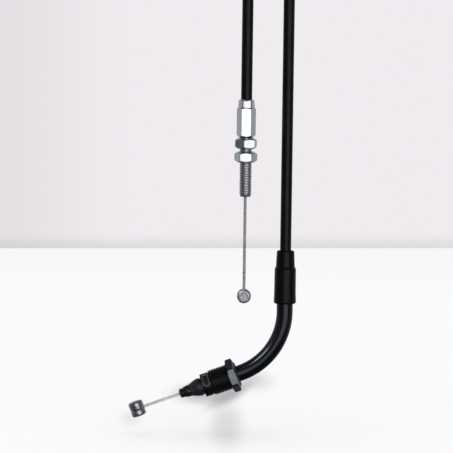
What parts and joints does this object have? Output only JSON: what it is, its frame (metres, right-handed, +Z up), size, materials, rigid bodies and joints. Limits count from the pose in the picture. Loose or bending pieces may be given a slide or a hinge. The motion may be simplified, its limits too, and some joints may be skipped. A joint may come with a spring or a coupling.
{
  "type": "throttle cable",
  "caption": "Motorcycle throttle cable with a bent-pipe throttle end, threaded union, flexible black conduit, inner wire with barrel nipples, and a threaded adjuster with lock nuts.",
  "frame": {"origin": "on the throttle union's axis, where its free thread meets the lock nut", "axes": "+Z up along the two straight legs, +X from the carburettor leg to the throttle leg, the cable lies in the XZ plane"},
  "size_m": [0.1098, 0.015, 0.318],
  "materials": {
    "black_pipe": "gloss black stove enamel",
    "liner_plastic": "natural nylon",
    "sleeve_rubber": "matt black rubber",
    "cup_steel": "plain steel",
    "union_black": "satin black",
    "black_oxide": "black oxide with bright flats",
    "guide_plastic": "moulded black nylon",
    "seal_rubber": "black rubber",
    "strand_steel": "bright stranded steel",
    "cast_zinc": "die-cast zinc",
    "conduit_jacket": "satin black plastic",
    "wrap_steel": "spiral-wound flat steel",
    "zinc_plate": "bright zinc plate"
  },
  "bodies": {
    "throttle_end": {"elbow_pipe": "black_pipe", "elbow_liner": "liner_plastic", "joint_sleeve": "sleeve_rubber", "conduit_cup": "cup_steel", "jacket_1": "conduit_jacket", "wrap_1": "wrap_steel", "liner_1": "liner_plastic", "core_1": "strand_steel"},
    "union": {"threaded_sleeve": "union_black", "wire_guide": "guide_plastic", "dust_seal": "seal_rubber"},
    "lock_nut": {"throttle_lock_nut": "black_oxide"},
    "throttle_pull_wire": {"throttle_wire": "strand_steel", "throttle_nipple": "cast_zinc"},
    "bend_1": {"jacket_2": "conduit_jacket", "wrap_2": "wrap_steel", "liner_2": "liner_plastic", "core_2": "strand_steel"},
    "bend_2": {"jacket_3": "conduit_jacket", "wrap_3": "wrap_steel", "liner_3": "liner_plastic", "core_3": "strand_steel"},
    "bend_3": {"jacket_4": "conduit_jacket", "wrap_4": "wrap_steel", "liner_4": "liner_plastic", "core_4": "strand_steel"},
    "carb_end": {"jacket_5": "conduit_jacket", "wrap_5": "wrap_steel", "liner_5": "liner_plastic", "adjuster": "zinc_plate", "adjuster_liner": "liner_plastic"},
    "upper_adjuster_nut": {"upper_nut": "zinc_plate"},
    "lower_adjuster_nut": {"lower_nut": "zinc_plate"},
    "carb_pull_wire": {"carb_wire": "strand_steel", "carb_nipple": "cast_zinc"}
  },
  "joints": [
    {"name": "union_swivel", "type": "hinge", "parent": "throttle_end", "child": "union", "pos_m": [0, 0, 0], "axis": [-0.9397, 0, -0.342], "continuous": true},
    {"name": "lock_nut_travel", "type": "slide", "parent": "union", "child": "lock_nut", "axis": [-0.9397, 0, -0.342], "range_m": [0, 0.006]},
    {"name": "throttle_pull", "type": "slide", "parent": "throttle_end", "child": "throttle_pull_wire", "axis": [-0.9397, 0, -0.342], "range_m": [-0.004, 0.025]},
    {"name": "flex_1", "type": "hinge", "parent": "throttle_end", "child": "bend_1", "pos_m": [0.05528, 0, 0.26761], "axis": [0, 1, 0], "range_deg": [0, 15], "stiffness_Nm_per_rad": 0.6},
    {"name": "flex_2", "type": "hinge", "parent": "bend_1", "child": "bend_2", "pos_m": [0.01755, 0, 0.29431], "axis": [0, 1, 0], "range_deg": [0, 15], "stiffness_Nm_per_rad": 0.6},
    {"name": "flex_3", "type": "hinge", "parent": "bend_2", "child": "bend_3", "pos_m": [-0.02017, 0, 0.26761], "axis": [0, 1, 0], "range_deg": [0, 15], "stiffness_Nm_per_rad": 0.6},
    {"name": "flex_4", "type": "hinge", "parent": "bend_3", "child": "carb_end", "pos_m": [0.00738, 0, 0.165], "axis": [0, 1, 0], "range_deg": [-4, 20], "stiffness_Nm_per_rad": 0.3},
    {"name": "carb_pull", "type": "slide", "parent": "carb_end", "child": "carb_pull_wire", "axis": [0, 0, -1], "range_m": [-0.025, 0.004]},
    {"name": "upper_nut_travel", "type": "slide", "parent": "carb_end", "child": "upper_adjuster_nut", "axis": [0, 0, -1], "range_m": [0, 0.008]},
    {"name": "lower_nut_travel", "type": "slide", "parent": "upper_adjuster_nut", "child": "lower_adjuster_nut", "axis": [0, 0, -1], "range_m": [-0.001, 0.008]}
  ],
  "couplings": [
    {"joint": "carb_pull", "follows": "throttle_pull", "ratio": -1}
  ]
}
